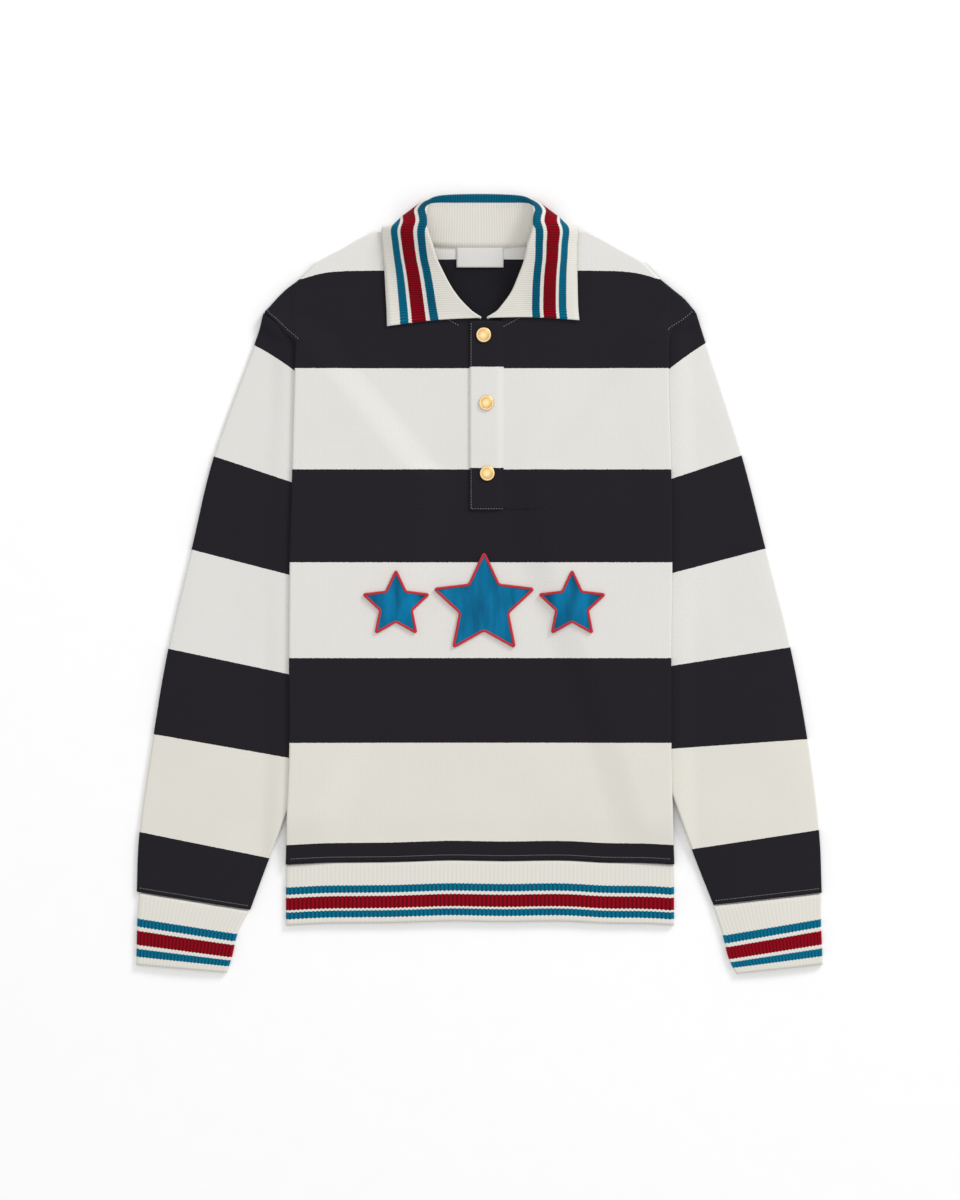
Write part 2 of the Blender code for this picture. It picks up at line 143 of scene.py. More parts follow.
# Width of the strip that the side fold turns under, from the fold to the armhole or the side seam.
TUCK = ((242, 2), (213, 24), (185, 48), (155, 73), (125, 98), (103, 121), (55, 118), (-15, 96),
        (-97, 63), (-175, 37), (-226, 22), (-280, 11))  # y, width
# Level of the front panel over its side fold and at the centre.
FRONT_LEVEL = ((353, 6.0, 6.0), (305, 6.8, 6.2), (273, 8.7, 6.8), (264, 9.8, 7.0), (253, 11.2, 7.0),
               (242, 12.1, 7.0), (-226, 12.1, 7.0), (-276, 6.2, 5.2), (-280, 6.2, 5.2))  # y, side, centre
FRONT_NECK = ((353, 91), (343, 87.4), (335, 84.2), (322, 75.8), (308, 65.4), (298, 53.8), (287, 41.4),
              (277, 27), (271, 15.5), (265, 1))  # y, out
# How far out the neckline and the collar's fold are drawn, as the shirt's opening lies a little to one side.
NECK_SHIFT = ((340, 0, 0), (322, 2, 4), (305, 2, 6), (287, 2, 8.5), (275, 0.5, 9),
              (266, -4, 4))  # y, right, left
BACK_NECK = ((353, 91.5), (347, 84.5), (343, 73.5), (340.3, 58), (338.6, 42), (337.7, 24), (337.3, 0))

# Sleeve sections from the armhole to the cuff seam: the two edge folds, and how far the row bows upwards.
SLEEVES = {
    RIGHT: (  # out and y at the outer fold, out and y at the inner fold, bow
        (216, 272, 76, 105, 15), (225, 241, 77, 95, 17), (265, 131, 82, 67, 1), (288, 36, 106, -11, 0),
        (311, -62, 144.7, -97.3, 0), (326, -149, 174, -175.5, 0), (340, -246, 211, -272, 0),
        (343, -307, 230.7, -325, 0),
    ),
    LEFT: (
        (215.5, 272.5, 78, 105, 20), (225, 243, 79, 95, 14), (260.5, 132, 84, 72, 0), (285, 37, 110, -9, 0),
        (309.5, -60.5, 145, -86.5, 0), (327, -154, 176, -164.5, 0), (338.5, -244, 212, -263, 0),
        (341.5, -308, 234.3, -320, 0),
    ),
}
CUFFS = {
    RIGHT: ((340.5, -308.6, 232.4, -326.4, 0), (342.3, -333, 243.3, -348.5, 0),
            (343, -357.6, 248.5, -370.5, 0), (343.5, -380.5, 254, -388, 0)),
    LEFT: ((340.5, -309.6, 234.3, -321.4, 0), (340.3, -333.8, 243.8, -350, 0),
           (341.2, -357.5, 249.5, -372.5, 0), (342, -380, 257.5, -389, 0)),
}

# Collar sections from the front end to the middle of the back neck: out, y and level of the neck seam,
# the crest of the fold, a point half way over the leaf, and the leaf's outer edge.
COLLAR = (
    ((3.6, 266.6, 8.0), (2.4, 267.4, 9.9), (50, 266.2, 9.4), (96.2, 261.2, 9.3)),
    ((15, 272.6, 7.6), (10.5, 276, 11.2), (52, 276.5, 10.4), (95.8, 275, 9.3)),
    ((40, 287.6, 7.0), (25.5, 295, 14.5), (60, 295, 13.8), (96, 294.5, 9.2)),
    ((64, 308.6, 6.6), (37.5, 317, 20.5), (68, 317, 18.5), (96.3, 317, 9.2)),
    ((83, 335.6, 6.2), (47.5, 339, 28), (76, 339, 22), (97.2, 338.5, 9.0)),
    ((86.8, 350, 5.8), (53.2, 356, 31), (80, 356, 24), (97.5, 357, 9.5)),
    ((86.4, 353, 5.4), (53.8, 366, 29.5), (80, 365, 16), (88, 352.5, 2.0)),
    ((80, 349.4, 4.8), (54, 374, 25), (73, 371, 11), (77, 343, 1.5)),
    ((65, 341.4, 5.0), (51, 383, 18), (57, 379.5, 6), (58, 341.5, 1.2)),
    ((46, 338.8, 5.0), (42, 388, 12), (42, 378, 3), (40, 341.5, 1.2)),
    ((24, 337.4, 5.0), (23, 389.8, 9), (22, 372, 2), (21, 341.5, 1.2)),
    ((0, 337.0, 5.0), (0, 390.3, 8), (0, 370, 1.8), (0, 341.5, 1.2)),
)
COLLAR_FOLD_RADIUS = 1.5
COLLAR_DEPTH = 95
LEAF_TIP_SHIFT = {RIGHT: (-3.2, -2.2), LEFT: (3.2, 3.8)}
LEAF_TIP_REACH = 4
# Towards the front the leaf is pressed narrower, which draws its stripes together: how much, and where.
LEAF_EASE = {RIGHT: (0.03, 0.15, 0.1), LEFT: (0.14, 0.2, 0.1)}
LEAF_EASE_AT = (0, 0.3, 0.5)
# Where the stripes' depth, measured from the outer edge in front, passes to the whole depth behind the neck.
BEHIND_FROM, BEHIND_SPAN = 0.28, 0.44

# Ribs of the flat knit: how many, and how far a ridge stands over its groove
COLLAR_RIBS, COLLAR_RIB_PITCH, COLLAR_RIDGE = 152, 3.1, 0.3
CREST_RIDGE, CREST_DEPTH, CREST_REACH = 0.6, 46, 8
BAND_RIB_PITCH, BAND_RIDGE = 4.2, 0.32
POINTS_PER_RIB = 4

# Stitches: one stitch's size, and the lines that they run along
STITCH_PITCH, STITCH_LENGTH, STITCH_WIDTH, STITCH_HEIGHT = 2.7, 1.6, 0.5, 0.7
STITCH_HALF_REACH = 0.9
HEM_STITCHES_LIFT = 5.2
CUFF_STITCHES_AT = 0.99
PLACKET_STITCHES_IN, PLACKET_STITCHES_UP = 1.4, 1.2
NECK_STITCHES = (((-33, 266), (-21.6, 259.8)), ((20.5, 257), (40, 267.5)))  # from x and y, to x and y
ARMHOLE_STITCHES = {RIGHT: (273, 243), LEFT: (272, 253)}  # from y, to y
ARMHOLE_STITCHES_IN, ARMHOLE_STITCHES_UP = 2.4, 2.2
LABEL_STITCHES_OUT, LABEL_STITCHES_Y = 23, 335.4

# Stripes: where each one starts along the cloth. A sleeve's are counted in courses, about 0.09 m long each.
STRIPES_TOP_Y = 400
SLEEVE_COURSES, COURSE_LENGTH = 7, 0.09
BODY_STRIPES = ((-300, "black"), (-257, "cream"), (-158.5, "black"), (-75.5, "white"), (20.5, "black"),
                (114.5, "white"), (216.5, "black"), (313, "white"))  # lower edge y, colour
SLEEVE_STRIPES = ((0, "black"), (1, "white"), (2, "black"), (3, "white"), (4, "black"), (5, "cream"),
                  (6, "black"))  # course, colour
INSIDE_STRIPES = ((-300, "inside black"), (325.5, "inside white"))  # lower edge y, colour
COLLAR_STRIPES = ((0, "rib"), (41, "teal"), (50, "rib"), (54, "red"), (69, "rib"), (72, "teal"),
                  (81, "rib"))  # depth from the neck seam, colour
HEM_STRIPES = ((0, "rib"), (22.3, "teal"), (29.8, "rib"), (33, "red"), (45.3, "rib"), (47.4, "teal"),
               (54.4, "rib"))
CUFF_STRIPES = ((0, "rib"), (24.5, "teal"), (32.5, "rib"), (36.5, "red"), (50.5, "rib"), (54.5, "teal"),
                (62.8, "rib"))
# How far the uppermost stripe of a panel dips towards the shoulder.
STRIPE_DIP = ((215, 30), (200, 21.5), (192, 17), (186, 13), (180, 9.8), (150, 2.3), (130, 1),
              (0, 0))  # out, dip

COLOURS = {  # sRGB, as dyed
    "white": (222, 220, 216),
    "cream": (221, 218, 209),
    "black": (33, 31, 36),
    "inside white": (218, 217, 213),
    "inside black": (30, 29, 34),
    "rib": (222, 219, 211),
    "teal": (0, 100, 130),
    "red": (132, 0, 20),
    "satin": (0, 104, 146),
    "cord": (196, 34, 44),
    "label": (216, 214, 210),
    "thread": (176, 174, 169),
    "gold": (240, 205, 146),
    "floor": (253, 253, 253),
}

# Studio, in metres and watts
CAMERA_HEIGHT = 7.0
VIEW_HEIGHT = 1.2
VIEW_CENTRE_Y = -0.015
SENSOR_WIDTH = 36
FLOOR_HALF_SIZE = 6
WORLD_LIGHT = 0.67
SOFT_BOXES = (  # name, place, size, power
    ("overhead_softbox", (-0.3, 0.2, 4.0), (3.0, 3.0), 30),
    ("key_softbox", (4.3, 5.0, 3.5), (2.2, 2.2), 263),
)


def linear(colour):
    """A named dye as the linear colour that a shader takes."""
    channels = [value / 255 for value in COLOURS[colour]]
    return (*(c / 12.92 if c < 0.04045 else ((c + 0.055) / 1.055) ** 2.4 for c in channels), 1)


# Curves and tables


def table_value(table, column, at):
    """A column of a table whose first column falls, on a smooth curve that never overshoots its rows."""
    if at >= table[0][0]:
        return table[0][column]
    if at <= table[-1][0]:
        return table[-1][column]
    i = next(k for k in range(len(table) - 1) if table[k + 1][0] <= at)
    slopes = []
    for k in (i - 1, i, i + 1):
        k = min(max(k, 0), len(table) - 2)
        slopes.append((table[k + 1][column] - table[k][column]) / (table[k + 1][0] - table[k][0]))
    before, here, after = slopes
    start = 2 * before * here / (before + here) if before * here > 0 else 0
    end = 2 * here * after / (here + after) if here * after > 0 else 0
    run = table[i + 1][0] - table[i][0]
    t = (at - table[i][0]) / run
    low, high = table[i][column], table[i + 1][column]
    return (low * (2 * t**3 - 3 * t**2 + 1) + high * (3 * t**2 - 2 * t**3)
            + run * (start * (t**3 - 2 * t**2 + t) + end * (t**3 - t**2)))


def smooth(x):
    x = min(max(x, 0.0), 1.0)
    return x * x * (3 - 2 * x)


def through(points, at):
    """A point on the smooth curve through points, at 0 for the first and 1 for the last."""
    place = min(max(at, 0.0), 1.0) * (len(points) - 1)
    i = min(int(place), len(points) - 2)
    t = place - i
    p1, p2 = (np.array(points[k], float) for k in (i, i + 1))
    p0 = np.array(points[i - 1], float) if i else 2 * p1 - p2
    p3 = np.array(points[i + 2], float) if i + 2 < len(points) else 2 * p2 - p1
    return 0.5 * (2 * p1 + (p2 - p0) * t + (2 * p0 - 5 * p1 + 4 * p2 - p3) * t**2
                  + (3 * p1 - p0 - 3 * p2 + p3) * t**3)


def unevenness(x, y, across, along, seed):
    """Smooth noise from about -1 to 1, with waves of the given lengths in millimetres."""
    return 1.6 * noise.noise(Vector((x / across, y / along, seed)))


# Finishes


class Value:
    """A socket of a material's nodes. Arithmetic on it adds Math nodes."""

    def __init__(self, finish, socket):
        self.finish = finish
        self.socket = socket

    def maths(self, operation, *values):
        return self.finish.node("ShaderNodeMath", {"operation": operation}, dict(enumerate(values)))

    def __add__(self, other):
        return self.maths("ADD", self, other)

    __radd__ = __add__

    def __sub__(self, other):
        return self.maths("SUBTRACT", self, other)

    def __rsub__(self, other):
        return self.maths("SUBTRACT", other, self)

    def __mul__(self, other):
        return self.maths("MULTIPLY", self, other)

    def __truediv__(self, other):
        return self.maths("DIVIDE", self, other)

    def wave(self, pitch):
        """A cosine of this value, 1 at every whole pitch and -1 between."""
        return self.maths("COSINE", self * (2 * math.pi / pitch))

    def size(self):
        return self.maths("ABSOLUTE", self)


class Finish:
    """A material in the making: one shader, and the nodes that vary it."""

    def __init__(self, name, **shader):
        self.material = bpy.data.materials.new(name)
        self.material.use_nodes = True
        self.tree = self.material.node_tree
        self.shader = self.tree.nodes["Principled BSDF"]
        for socket, value in shader.items():
            self.feed(self.shader, socket.replace("_", " "), value)

    def feed(self, node, socket, value):
        if isinstance(value, Value):
            self.tree.links.new(value.socket, node.inputs[socket])
        else:
            node.inputs[socket].default_value = value

    def node(self, kind, settings=None, inputs=None, output=0):
        """Adds a node: its settings first, a ramp's stops among them, then its sockets' values or links."""
        made = self.tree.nodes.new(kind)
        for setting, value in (settings or {}).items():
            if setting == "stops":
                self.set_stops(made.color_ramp, value)
            else:
                setattr(made, setting, value)
        for socket, value in (inputs or {}).items():
            self.feed(made, socket, value)
        return Value(self, made.outputs[output])

    def set_stops(self, ramp, stops):
        ramp.interpolation = "CONSTANT"
        while len(ramp.elements) < len(stops):
            ramp.elements.new(1)
        for element, (place, colour) in zip(ramp.elements, stops):
            element.position = place
            element.color = colour

    def varies(self, socket, value):
        self.feed(self.shader, socket, value)

    def parts(self, coordinates):
        """The first two parts of a set of texture coordinates."""
        place = self.node("ShaderNodeTexCoord", output=coordinates)
        first = self.node("ShaderNodeSeparateXYZ", inputs={0: place})
        return first, Value(self, first.socket.node.outputs[1])

    def cloth(self):
        """Metres across the cloth and along it, from the piece's UV map."""
        return self.parts("UV")

    def noise(self, scale, detail=2.0, stretch=(1, 1, 1)):
        """Noise over the piece's own place, scale in waves a metre."""
        place = self.node("ShaderNodeTexCoord", output="Object")
        mapped = self.node("ShaderNodeMapping", inputs={"Vector": place, "Scale": stretch})
        return self.node("ShaderNodeTexNoise", inputs={"Vector": mapped, "Scale": scale, "Detail": detail})

    def mixed(self, share, first, second):
        """Colour first turned towards second by share."""
        return self.node("ShaderNodeMix", {"data_type": "RGBA"}, {0: share, 6: first, 7: second}, output=2)

    def scaled(self, colour, share):
        """A colour made lighter or darker by a share of itself."""
        plain = colour if isinstance(colour, Value) else colour[:3]
        return self.node("ShaderNodeVectorMath", {"operation": "SCALE"}, {0: plain, "Scale": share})

    def bumped(self, height, strength, distance):
        relief = {"Height": height, "Strength": strength, "Distance": distance}
        self.varies("Normal", self.node("ShaderNodeBump", inputs=relief))


def striped(finish, along, stripes, end):
    """The colour of knitted-in stripes. along and end are in the stripes' own unit."""
    start = stripes[0][0]
    stops = [((place - start) / (end - start), linear(colour)) for place, colour in stripes]
    return finish.node("ShaderNodeValToRGB", {"stops": stops}, {0: (along - start) / (end - start)})


def jersey_finish(name, stripes, end, unit, course_length):
    """Heavy cotton jersey. unit is one stripe unit along the UV map, course_length that unit in metres."""
    finish = Finish(name, Specular_IOR_Level=0.1, Sheen_Weight=0.03, Sheen_Roughness=0.5)
    across, along = finish.cloth()
    fuzz = finish.noise(900, 3)
    blotch = finish.noise(16, 3)
    edge = (fuzz - 0.5) * (STRIPE_FRAY / course_length)
    colour = striped(finish, along / unit + edge, stripes, end)
    shade = 0.955 + blotch * 0.05 + fuzz * 0.045
    shaded = finish.scaled(colour, shade)
    finish.varies("Base Color", shaded)
    finish.varies("Roughness", 0.84 + fuzz * 0.12)
    wale = across.wave(WALE_PITCH)
    loop = (along * (course_length / unit) + wale.size() * LOOP_BEND).wave(LOOP_PITCH)
    finish.bumped(wale * 0.6 + loop * 0.4 + fuzz * 0.9, 0.35, 0.0002)
    return finish.material


def rib_finish(name, stripes, end, pitch):
    """Flat-knit rib in cotton: painted shade in the grooves, a painted highlight on the ridges, and rows of
    stitches crossing the ridges.
    """
    finish = Finish(name, Specular_IOR_Level=0.1, Sheen_Weight=0.03, Sheen_Roughness=0.5)
    across, along = finish.cloth()
    fuzz = finish.noise(900, 3)
    blotch = finish.noise(20, 2)
    ridge = across.wave(pitch * MM)
    edge = (fuzz - 0.5) * 0.8 + ridge * 0.35
    colour = striped(finish, along / MM + edge, stripes, end)
    groove = 0.5 - ridge * 0.5
    # Painted shade in the grooves and a painted highlight on the ridges, scaled by how dark the stripe is:
    # strong on teal and red, almost none on the pale rib.
    paleness = finish.node("ShaderNodeSeparateColor", inputs={0: colour}, output=1)
    depth = 0.74 - paleness * 0.98
    shade = 0.975 + blotch * 0.03 + fuzz * 0.02 + depth * (0.24 - groove * groove)
    shaded = finish.scaled(colour, shade)
    finish.varies("Base Color", shaded)
    finish.varies("Roughness", 0.84 + fuzz * 0.12)
    row = (along + groove * RIB_ROW_BEND).wave(RIB_ROW_PITCH)
    finish.bumped(row * 0.5 + fuzz * 0.9, 0.35, 0.0002)
    return finish.material


def satin_finish():
    """Teal satin, with close floats of thread and painted sheen: soft light streaks along them."""
    finish = Finish("teal_satin", Specular_IOR_Level=0.08, Anisotropic=0.5)
    float_lines = finish.noise(700, 2, (1, 0.12, 1))
    painted_sheen = finish.noise(80, 2, (1, 0.25, 1))
    # The colour carries painted sheen in soft streaks, lighter and darker, and finer streaks along the
    # floats.
    shade = painted_sheen * 1.7 + float_lines * 0.2
    colour = finish.scaled(linear("satin"), shade)
    finish.varies("Base Color", colour)
    finish.varies("Roughness", 0.42 + float_lines * 0.16)
    finish.bumped(float_lines, 0.3, 0.0003)
    return finish.material


def thread_finish(name, colour, ply_pitch):
    """Twisted thread or cord, with slanting plies."""
    finish = Finish(name, Specular_IOR_Level=0.3, Sheen_Weight=0.15)
    fuzz = finish.noise(1200, 2)
    x, y = finish.parts("Object")
    ply = (x + y).wave(ply_pitch * MM)
    shade = 0.86 + fuzz * 0.14 + ply * 0.07
    shaded = finish.scaled(linear(colour), shade)
    finish.varies("Base Color", shaded)
    finish.varies("Roughness", 0.6 + fuzz * 0.2)
    finish.bumped(ply * 0.6 + fuzz * 0.4, 0.4, 0.0003)
    return finish.material


def label_finish():
    """Woven white ribbon: fine crossing threads and a little lustre."""
    finish = Finish("woven_label", Specular_IOR_Level=0.4, Sheen_Weight=0.1)
    across, along = finish.cloth()
    weave = across.wave(WEAVE_PITCH) * 0.5 + along.wave(WEAVE_PITCH) * 0.5
    fuzz = finish.noise(800, 2)
    shade = 0.96 + fuzz * 0.05 + weave * 0.015
    shaded = finish.scaled(linear("label"), shade)
    finish.varies("Base Color", shaded)
    finish.varies("Roughness", 0.5 + fuzz * 0.2)
    finish.bumped(weave, 0.3, 0.0001)
    return finish.material


def gold_finish():
    """Pressed and polished metal cap, with fine handling marks."""
    finish = Finish("gold_cap", Metallic=1.0)
    marks = finish.noise(260, 3, (1, 3, 1))
    wear = finish.noise(90, 2)
    shade = 0.94 + wear * 0.1
    shaded = finish.scaled(linear("gold"), shade)
    finish.varies("Base Color", shaded)
    finish.varies("Roughness", 0.3 + marks * 0.12)
    finish.bumped(marks, 0.08, 0.0001)
    return finish.material


def floor_finish():
    finish = Finish("pale_floor", Specular_IOR_Level=0.1)
    grain = finish.noise(40, 2)
    finish.varies("Base Color", finish.mixed(grain, linear("floor"), (0.96, 0.96, 0.96, 1)))
    finish.varies("Roughness", 0.9 + grain * 0.05)
    return finish.material


# Making pieces


def lay_grid(bm, across, along, place, ridge=None, closed=False):
    """A grid moved to place(column, row), a point in millimetres and its UV, and lifted by ridge(UVs)."""
    points = np.zeros((across + 1, along + 1, 3))
    marks = np.zeros((across + 1, along + 1, 2))
    for column in range(across + 1):
        for row in range(along + 1):
            points[column, row], marks[column, row] = place(column, row)
    if ridge:
        if closed:
            inner = points[:-1]
            run = np.roll(inner, -1, axis=0) - np.roll(inner, 1, axis=0)
            run = np.concatenate((run, run[:1]))
        else:
            run = np.gradient(points, axis=0)
        up = np.cross(run, np.gradient(points, axis=1))
        up /= np.linalg.norm(up, axis=2, keepdims=True) + 1e-9
        points += up * ridge(marks)[..., None]
    cloth = bm.loops.layers.uv.verify()
    made = bmesh.ops.create_grid(bm, x_segments=across, y_segments=along, size=1)["verts"]
    place_of = {}
    for vert in made:
        column, row = round((vert.co.x + 1) / 2 * across), round((vert.co.y + 1) / 2 * along)
        vert.co = Vector(points[column, row]) * MM
        place_of[vert] = marks[column, row]
    for face in {face for vert in made for face in vert.link_faces}:
        for loop in face.loops:
            loop[cloth].uv = place_of[loop.vert]


def finish_piece(name, bm, material, replaces=None, wall=None):
    """Turns a bmesh into a piece that rides on the shirt, with a wall's thickness on both sides of it."""
    bmesh.ops.remove_doubles(bm, verts=bm.verts, dist=1e-6)
    bmesh.ops.recalc_face_normals(bm, faces=bm.faces)
    mesh = bpy.data.meshes.new(name)
    bm.to_mesh(mesh)
    bm.free()
    piece = bpy.data.objects.new(name, mesh)
    bpy.context.scene.collection.objects.link(piece)
    mesh.materials.append(material)
    mesh.shade_smooth()
    if wall:
        solid = piece.modifiers.new("wall", "SOLIDIFY")
        solid.thickness = wall * MM
        solid.offset = 0
    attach(piece, "root")
    if replaces:
        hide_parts(replaces)
    return piece


# Panels


def edge_out(side, y):
    return table_value(PANEL_EDGE, 1 if side == RIGHT else 2, y)


def neck_shift(side, y):
    return table_value(NECK_SHIFT, 1 if side == RIGHT else 2, y)


def neck_out(neck, side, y):
    """Where a panel's row ends at the neck, or 0 below it."""
    if y <= neck[-1][0]:
        return 0
    return table_value(neck, 1, y) + (neck_shift(side, y) if neck is FRONT_NECK else 0)


def fold_share(y):
    """0 on the shoulder, where the edge turns down to its seam, 1 where the side folds right over."""
    return smooth((SHOULDER_POINT_Y - y) / (SHOULDER_POINT_Y - FOLD_TOP_Y))


def tuck_width(y):
    return table_value(TUCK, 1, y) if y < FOLD_TOP_Y else EDGE_STUB + 1.5 * fold_share(y)


def bowed(y, x):
    """The hem and the rows near it hang a little lower at the sides than in the middle, in slight waves."""
    low = smooth((-y - 150) / 120)
    return y - (HEM_BOW * (x / HEM_HALF_WIDTH) ** 2 + HEM_WAVE * unevenness(x, 0, 60, 1, 0.3)) * low


def ramp(side, y):
    """Where a panel starts to climb over the layers folded under its side, and where it is over them."""
    end = edge_out(side, y) - tuck_width(y) - RAMP_CLEARANCE
    return end - RAMP_WIDTH, end


def front_level(side, out, y):
    low, high = table_value(FRONT_LEVEL, 2, y), table_value(FRONT_LEVEL, 1, y)
    start, end = ramp(side, y)
    over = smooth((out - start) / (end - start))
    return low + (high - low) * over


def front_ripple(side, out, y):
    """Laid cloth is never quite flat: long soft waves, calmer over the layers at the side."""
    start, end = ramp(side, y)
    calm = 1 - 0.7 * smooth((out - start) / (end - start))
    calm *= smooth((y - HEM_Y) / 30)
    crease = smooth((out - CREASE_OUT) / 5) * smooth((CREASE_TOP_Y - y) / 30) * smooth((y - FOLD_TOP_Y) / 8)
    return RIPPLE * calm * unevenness(side * out, y, 90, 130, 3.7) - CREASE * crease


def back_level(side, out, y):
    return BACK_LEVEL + BACK_NECK_RISE * smooth((y - 300) / 34) * (1 - smooth((out - 102) / 25))


def front_surface(x, y):
    side = RIGHT if x < 0 else LEFT
    return front_level(side, abs(x), y) + front_ripple(side, abs(x), y)


def fold_radius(side, y):
    edge = edge_out(side, y)
    gap = front_level(side, edge, y) - back_level(side, edge, y)
    share = fold_share(y)
    room = gap / 2 - EDGE_GAP - EDGE_STUB - JERSEY / 2 * share
    rounded = max(room / (1 + math.sin(math.pi / 2 * share)), 0.4)
    return rounded + (FOLD_RADIUS - rounded) * share


def panel_section(side, y, inner, level, up):
    """A panel's row on one side, from the seam at its end, round the side fold and in to the inner edge."""
    edge, radius = edge_out(side, y), fold_radius(side, y)
    width = tuck_width(y)
    turn = math.pi / 2 * (1 + fold_share(y))
    last = math.pi / 2 - turn
    main = level(side, edge, y)
    middle = (front_level(side, edge, y) + back_level(side, edge, y)) / 2
    section = []
    for step in range(STRIP_COLUMNS):
        reach = width * (1 - step / STRIP_COLUMNS)
        drop = radius * (1 - math.sin(last)) + reach * math.cos(last)
        if y < SIDE_SEAM_TOP_Y:
            seam = max(drop, abs(middle - main) - SIDE_SEAM_HALF_GAP)
            turned = smooth(1 - (width - reach) / min(SIDE_SEAM_TURN, 0.33 * width))
            drop += (seam - drop) * turned * smooth((SIDE_SEAM_TOP_Y - y) / 12)
        section.append((edge - radius + radius * math.cos(last) + reach * math.sin(last), main + up * drop))
    for step in range(FOLD_STEPS):
        angle = last + turn * step / FOLD_STEPS
        drop = radius * (1 - math.sin(angle))
        section.append((edge - radius + radius * math.cos(angle), main + up * drop))
    outer = edge - radius
    for step in range(PANEL_COLUMNS + 1):
        out = outer + (inner - outer) * step / PANEL_COLUMNS
        section.append((out, level(side, out, y)))
    return section


def panel_rows(top, neck, bottom):
    """Rows down a panel: close together at the neck and at the shoulder, even below."""
    rows = [row[0] for row in neck] + [PLACKET_BOTTOM_Y + 1.05, PLACKET_BOTTOM_Y + 0.95]
    y = top
    while y > bottom + ROW_STEP / 2:
        if min(abs(y - row) for row in rows) > 0.3:
            rows.append(y)
        y -= ROW_STEP if y < FOLD_TOP_Y - 10 else ROW_STEP / 2
    return sorted([*rows, bottom], reverse=True)


def stripe_dip(y, out):
    return table_value(STRIPE_DIP, 1, out) * smooth((y - 225) / 50)


def make_panel(node, neck, slot, level, up, ripple, material):
    """A panel in two halves, which meet on the centre line below the neck and below any slot."""
    bm = bmesh.new()
    rows = panel_rows(PANEL_EDGE[0][0], neck, HEM_Y)
    for side in SIDES:
        sections = []
        for y in rows:
            inner = neck_out(neck, side, y)
            if PLACKET_BOTTOM_Y + 1 < y:
                inner = max(inner, slot[side])
            sections.append((y, panel_section(side, y, inner, level, up)))

        def place(column, row):
            y, section = sections[row]
            out, height = section[column]
            point = side * out, bowed(y, side * out), height + (ripple(side, out, y) if ripple else 0)
            return point, (side * out * MM, (y + stripe_dip(y, out)) * MM)

        lay_grid(bm, len(sections[0][1]) - 1, len(rows) - 1, place)
    return finish_piece(node + "_cloth", bm, material, node, JERSEY)


# Sleeves, cuffs and hem band


def tube_round(upper, lower, turn):
    """Points round a flattened tube: share of the way across, layer and angle round the edge fold."""
    around = [(step / upper, 1, 0.0) for step in range(upper)]
    around += [(1, 1, math.pi * step / turn) for step in range(turn)]
    around += [(1 - step / lower, -1, 0.0) for step in range(lower)]
    around += [(0, -1, math.pi * step / turn) for step in range(turn)]
    return [*around, around[0]]


def across_tube(start, end, share, layer, angle, radius):
    """Where a point round a flattened tube lies: along the row from start to end, and over its mid-depth."""
    run = end - start
    length = np.linalg.norm(run)
    way = run / length
    along = radius + share * (length - 2 * radius)
    along += radius * math.sin(angle) * (1 if share == 1 else -1)
    return start + way * along, layer * radius * math.cos(angle)


def round_mark(share, layer, angle, length):
    """How far round a flattened tube a point is, in metres of cloth."""
    if angle:
        return (length * (1 if share == 1 else 2)) * MM
    return (share if layer > 0 else 2 - share) * length * MM


def sleeve_rise(side, out, y):
    """How far a sleeve is lifted to pass over the back panel's side, and how far it is within the body."""
    outside = out - edge_out(side, y) - SLEEVE_LIFT_MARGIN
    inside = smooth(1 - outside / SLEEVE_LIFT_WIDTH)
    return SLEEVE_LIFT * inside, inside


def make_sleeve(side, material):
    radius = SLEEVE_DEPTH / 2
    rows = 176
    around = tube_round(64, 36, 8)

    def place(column, row):
        share, layer, angle = around[column]
        at = row / rows
        out0, y0, out1, y1, bow = through(SLEEVES[side], at)
        length = math.hypot(out1 - out0, y1 - y0)
        ends = np.array((out0, y0)), np.array((out1, y1))
        (out, y), height = across_tube(*ends, share, layer, angle, radius)
        y += 4 * bow * share * (1 - share)
        lift, inside = sleeve_rise(side, out, y)
        height += JERSEY / 2 + radius + lift
        if layer > 0 and angle == 0:
            free = (1 - inside) * max(math.sin(math.pi * share), 0) ** 0.7
            soft = unevenness(out, y, 45, 110, 5.1 + side)
            height += (SLEEVE_PILLOW + SLEEVE_RIPPLE * soft) * free
        return (side * out, y, height), (round_mark(share, layer, angle, length), at * SLEEVE_COURSES)

    bm = bmesh.new()
    lay_grid(bm, len(around) - 1, rows, place)
    node = "sleeve_" + SIDE_NAMES[side]
    return finish_piece(node + "_cloth", bm, material, node, JERSEY)


def make_rib_tube(node, rows, ribs, depth, section_place, material):
    """A flattened tube of rib knit. section_place(share, layer, angle, at) gives a point."""
    around = tube_round(ribs * POINTS_PER_RIB, ribs, 6)
    length = ribs * BAND_RIB_PITCH

    def place(column, row):
        share, layer, angle = around[column]
        at = row / rows
        mark = round_mark(share, layer, angle, length), at * depth * MM
        return section_place(share, layer, angle, at), mark

    def ridge(marks):
        return BAND_RIDGE / 2 * np.cos(2 * np.pi * marks[..., 0] / (BAND_RIB_PITCH * MM))

    bm = bmesh.new()
    lay_grid(bm, len(around) - 1, rows, place, ridge, closed=True)
    return finish_piece(node + "_cloth", bm, material, node, RIB)


def make_cuff(side, material):
    radius = CUFF_FOLD_RADIUS

    def section_place(share, layer, angle, at):
        out0, y0, out1, y1, _ = through(CUFFS[side], at)
        ends = np.array((out0, y0)), np.array((out1, y1))
        (out, y), height = across_tube(*ends, share, layer, angle, radius)
        pillow = math.sin(math.pi * share) if layer > 0 and angle == 0 else 0
        return side * out, y, height + RIB / 2 + radius + BAND_RIDGE / 2 + max(pillow, 0)

    return make_rib_tube("cuff_" + SIDE_NAMES[side], 22, 26, CUFF_DEPTH, section_place, material)


